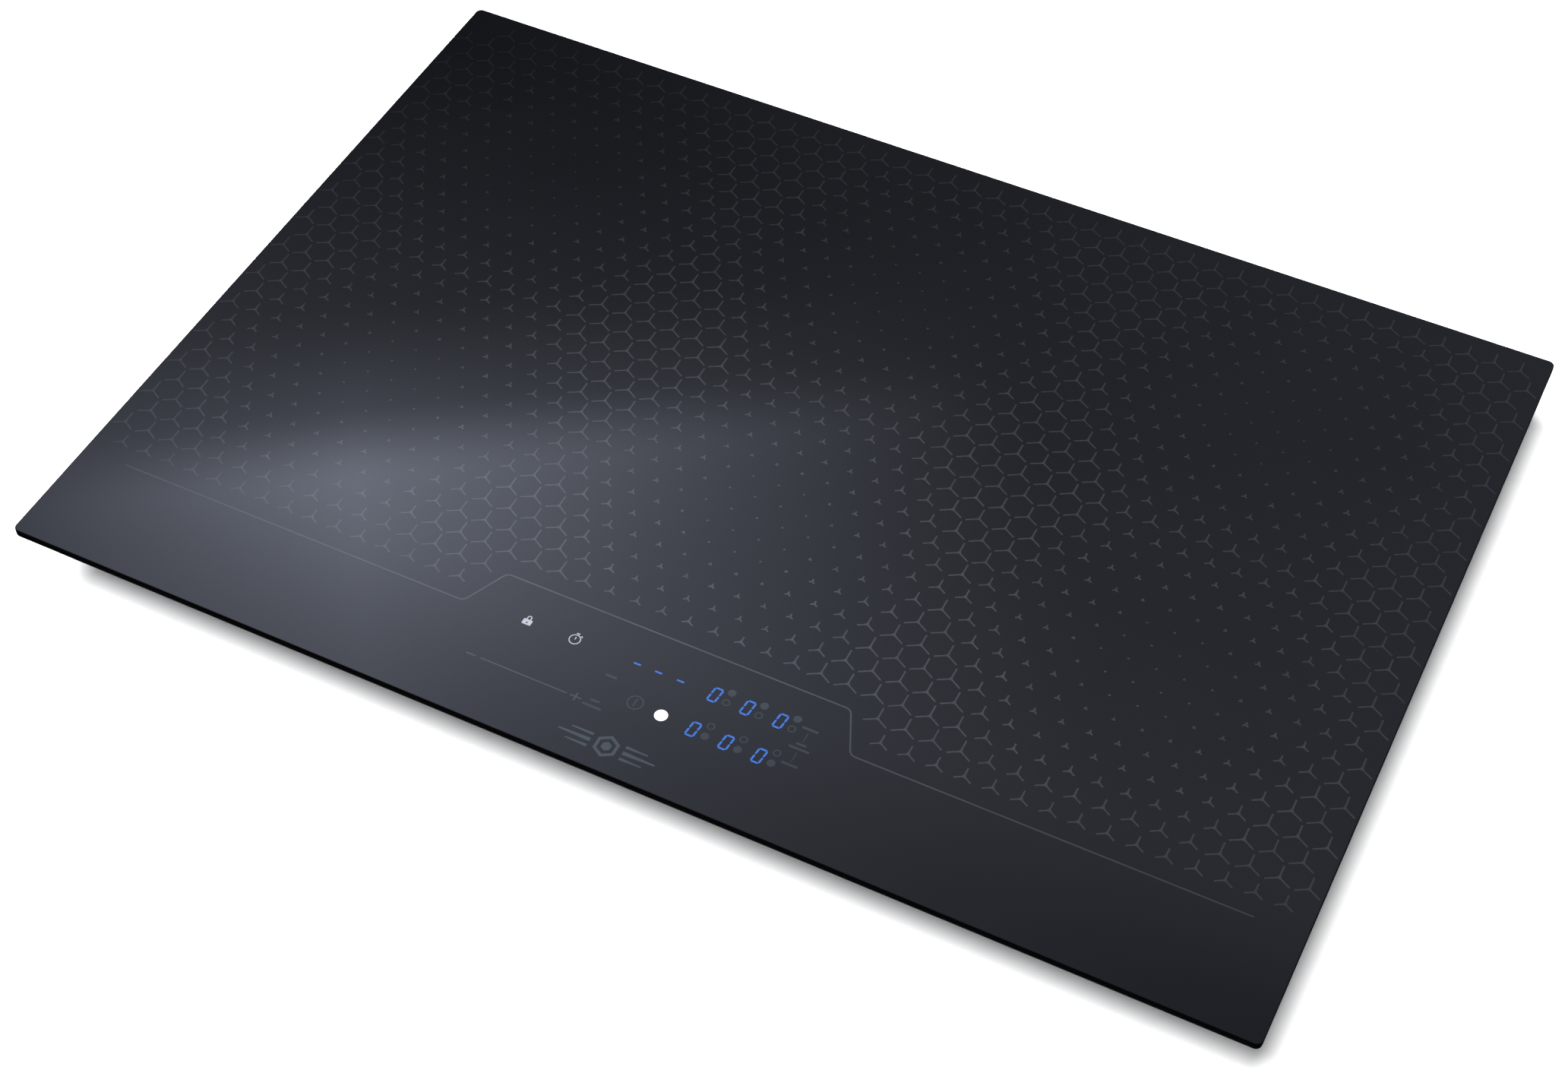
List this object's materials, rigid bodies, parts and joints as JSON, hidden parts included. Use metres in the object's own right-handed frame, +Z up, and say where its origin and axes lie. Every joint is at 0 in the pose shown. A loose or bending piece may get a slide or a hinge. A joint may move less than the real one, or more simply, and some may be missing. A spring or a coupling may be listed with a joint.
{
  "type": "electric induction cooktop",
  "caption": "Built-in induction cooktop: black glass over a shallow steel pan, with flat coils, power boards, blowers, touch control, hold-down clamps and a conduit inlet.",
  "frame": {"origin": "midway in X and Y of the whole object, on the plane of the pan's underside", "axes": "+X right as the cook stands in front of it, +Y towards the back, +Z up through the glass"},
  "size_m": [0.781, 0.5444, 0.0552],
  "materials": {
    "glass": "polished black glass-ceramic",
    "foam_seal": "matt closed-cell foam",
    "silicone": "satin silicone",
    "galvanised_steel": "spangled zinc coating",
    "zinc_steel": "bright zinc plate",
    "bracket_steel": "zinc plate",
    "green_plastic": "moulded flame-proof plastic",
    "aluminium": "mill finish",
    "spring_steel": "drawn wire",
    "black_plastic": "moulded glass-filled plastic",
    "impeller_plastic": "moulded plastic",
    "copper": "enamelled copper wire",
    "ferrite": "sintered ferrite",
    "mica": "mica-faced ceramic fibre",
    "white_plastic": "moulded plastic",
    "circuit_board": "solder-masked laminate",
    "package_black": "moulded epoxy",
    "capacitor_yellow": "potted box",
    "grey_ribbon": "flat cable",
    "grey_plastic": "moulded plastic",
    "wire_red": "insulated wire"
  },
  "bodies": {
    "chassis": {"glass_top": "glass", "worktop_seal": "foam_seal", "glass_adhesive": "silicone", "glass_frame": "galvanised_steel", "chassis_pan": "galvanised_steel", "chassis_screws": "zinc_steel", "electronics_tray": "green_plastic", "bracket_front_left": "bracket_steel", "bracket_front_right": "bracket_steel", "bracket_rear_left": "bracket_steel", "bracket_rear_right": "bracket_steel", "bracket_screws": "zinc_steel", "coil_tray_left": "aluminium", "coil_tray_centre": "aluminium", "coil_tray_right": "aluminium", "tray_springs": "spring_steel", "coil_carrier_front_left": "black_plastic", "coil_carrier_front_centre": "black_plastic", "coil_carrier_front_right": "black_plastic", "coil_carrier_rear_left": "black_plastic", "coil_carrier_rear_centre": "black_plastic", "coil_carrier_rear_right": "black_plastic", "coil_winding_front_left": "copper", "coil_winding_front_centre": "copper", "coil_winding_front_right": "copper", "coil_winding_rear_left": "copper", "coil_winding_rear_centre": "copper", "coil_winding_rear_right": "copper", "ferrite_bars": "ferrite", "coil_insulation": "mica", "temperature_sensors": "white_plastic", "power_board_left": "circuit_board", "power_board_right": "circuit_board", "heatsink_left": "aluminium", "heatsink_right": "aluminium", "power_transistors": "package_black", "film_capacitors": "capacitor_yellow", "filter_chokes": "copper", "filter_board": "circuit_board", "fan_housing_left": "black_plastic", "fan_housing_right": "black_plastic", "fan_motor_left": "copper", "fan_motor_right": "copper", "control_carrier": "black_plastic", "control_board": "circuit_board", "display_modules": "package_black", "touch_springs": "spring_steel", "ribbon_cable": "grey_ribbon", "terminal_block": "white_plastic", "terminal_cover": "grey_plastic", "conduit_connector": "zinc_steel", "conduit_locknut": "zinc_steel", "wiring": "wire_red"},
    "clamp_screw_front_left": {"clamp_screw_front_left": "zinc_steel"},
    "clamp_screw_front_right": {"clamp_screw_front_right": "zinc_steel"},
    "clamp_screw_rear_left": {"clamp_screw_rear_left": "zinc_steel"},
    "clamp_screw_rear_right": {"clamp_screw_rear_right": "zinc_steel"},
    "fan_impeller_left": {"fan_impeller_left": "impeller_plastic"},
    "fan_impeller_right": {"fan_impeller_right": "impeller_plastic"}
  },
  "joints": [
    {"name": "clamp_travel_front_left", "type": "slide", "parent": "chassis", "child": "clamp_screw_front_left", "axis": [0, 0, 1], "range_m": [0, 0.014]},
    {"name": "clamp_travel_front_right", "type": "slide", "parent": "chassis", "child": "clamp_screw_front_right", "axis": [0, 0, 1], "range_m": [0, 0.014]},
    {"name": "clamp_travel_rear_left", "type": "slide", "parent": "chassis", "child": "clamp_screw_rear_left", "axis": [0, 0, 1], "range_m": [0, 0.014]},
    {"name": "clamp_travel_rear_right", "type": "slide", "parent": "chassis", "child": "clamp_screw_rear_right", "axis": [0, 0, 1], "range_m": [0, 0.014]},
    {"name": "fan_spin_left", "type": "hinge", "parent": "chassis", "child": "fan_impeller_left", "pos_m": [-0.127, 0.15, 0.012], "axis": [0, 0, 1], "continuous": true},
    {"name": "fan_spin_right", "type": "hinge", "parent": "chassis", "child": "fan_impeller_right", "pos_m": [0.127, 0.15, 0.012], "axis": [0, 0, 1], "continuous": true}
  ]
}
